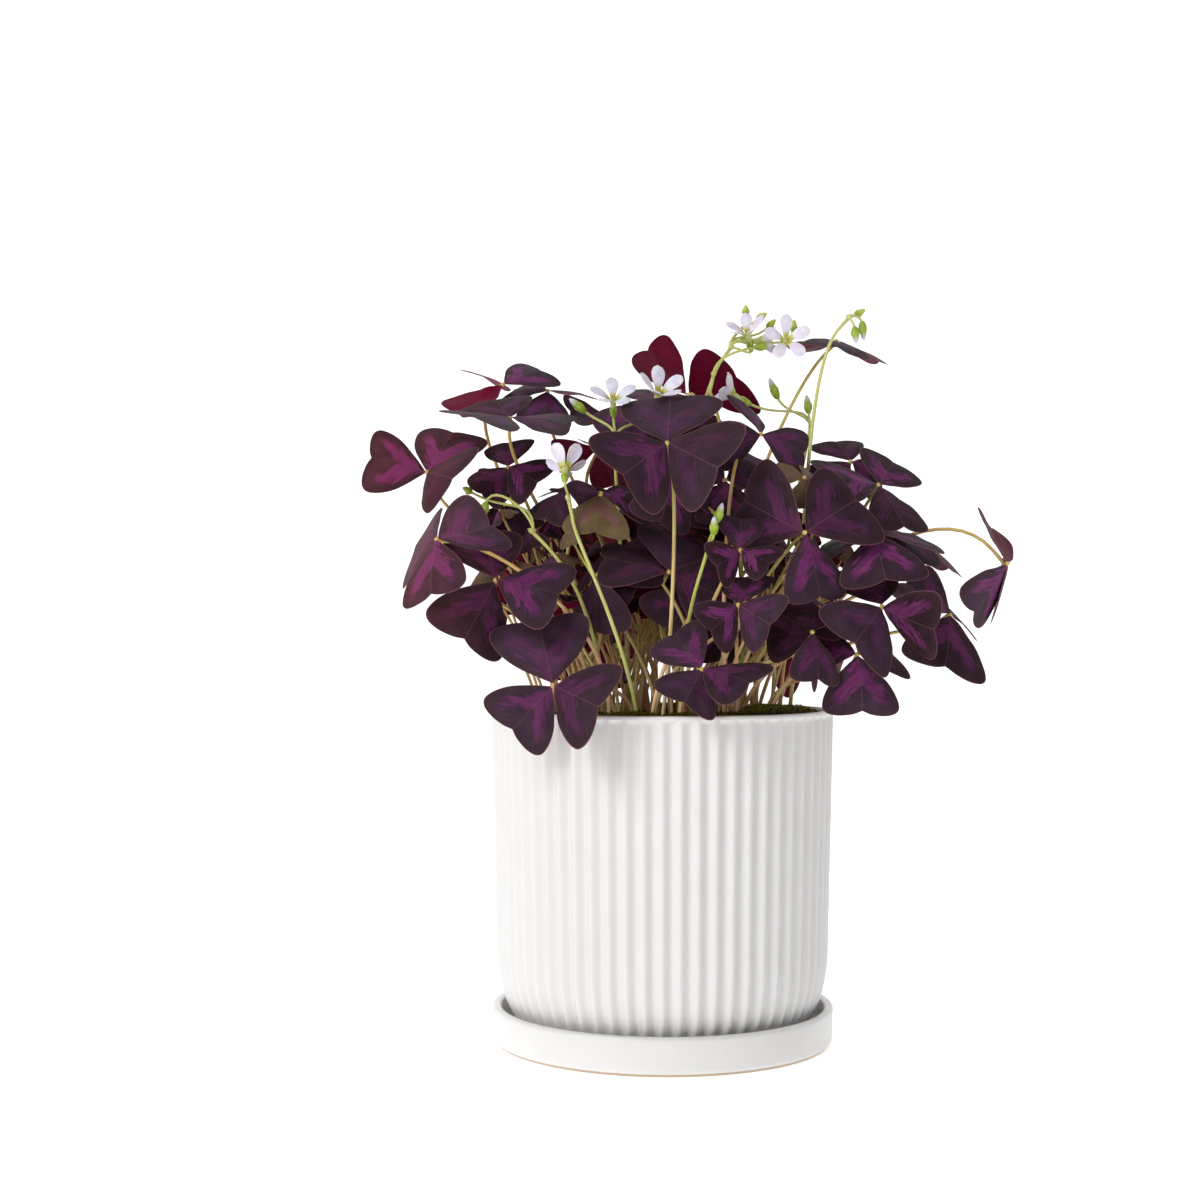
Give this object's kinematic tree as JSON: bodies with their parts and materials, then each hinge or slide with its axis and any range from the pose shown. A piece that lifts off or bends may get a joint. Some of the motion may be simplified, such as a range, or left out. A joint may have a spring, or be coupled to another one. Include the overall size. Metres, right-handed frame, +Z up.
{
  "type": "potted plant",
  "caption": "Potted purple shamrock: three-leafleted dark purple leaves on thin stalks with small pale lilac flowers, in a fluted white pot standing in its saucer.",
  "frame": {"origin": "middle of the saucer's underside, on the pot's axis, where the saucer stands on the table", "axes": "+Z up along the pot's axis, -Y toward the side with the fullest leaves, +X to that side's right"},
  "size_m": [0.3029, 0.2033, 0.3461],
  "materials": {
    "glaze": "satin white glaze",
    "soil": "dark crumbly potting soil",
    "leaf": "matt dark purple leaf",
    "stem": "smooth green-yellow stem",
    "petal": "soft pale lilac petal"
  },
  "bodies": {
    "root": {"bloom_low_1": "petal", "bloom_side_1": "petal", "bloom_tall_1": "petal", "bloom_tall_2": "petal", "bloom_tall_3": "petal", "bloom_white_1": "petal", "bloom_white_2": "petal", "flower_stem_bright": "stem", "flower_stem_left": "stem", "flower_stem_low": "stem", "flower_stem_middle": "stem", "flower_stem_right": "stem", "flower_stem_side": "stem", "flower_stem_tall": "stem", "flower_stem_white": "stem", "leaf_01": "leaf", "leaf_02": "leaf", "leaf_03": "leaf", "leaf_04": "leaf", "leaf_05": "leaf", "leaf_06": "leaf", "leaf_07": "leaf", "leaf_08": "leaf", "leaf_09": "leaf", "leaf_10": "leaf", "leaf_11": "leaf", "leaf_12": "leaf", "leaf_13": "leaf", "leaf_14": "leaf", "leaf_15": "leaf", "leaf_16": "leaf", "leaf_17": "leaf", "leaf_18": "leaf", "leaf_19": "leaf", "leaf_20": "leaf", "leaf_21": "leaf", "leaf_22": "leaf", "leaf_23": "leaf", "leaf_24": "leaf", "leaf_25": "leaf", "leaf_26": "leaf", "leaf_27": "leaf", "leaf_28": "leaf", "leaf_29": "leaf", "leaf_30": "leaf", "leaf_31": "leaf", "leaf_32": "leaf", "leaf_33": "leaf", "leaf_34": "leaf", "leaf_35": "leaf", "leaf_36": "leaf", "leaf_37": "leaf", "leaf_tuft_1": "leaf", "leaf_tuft_2": "leaf", "leaf_tuft_3": "leaf", "leaf_tuft_4": "leaf", "pot": "glaze", "saucer": "glaze", "soil": "soil"}
  },
  "joints": []
}
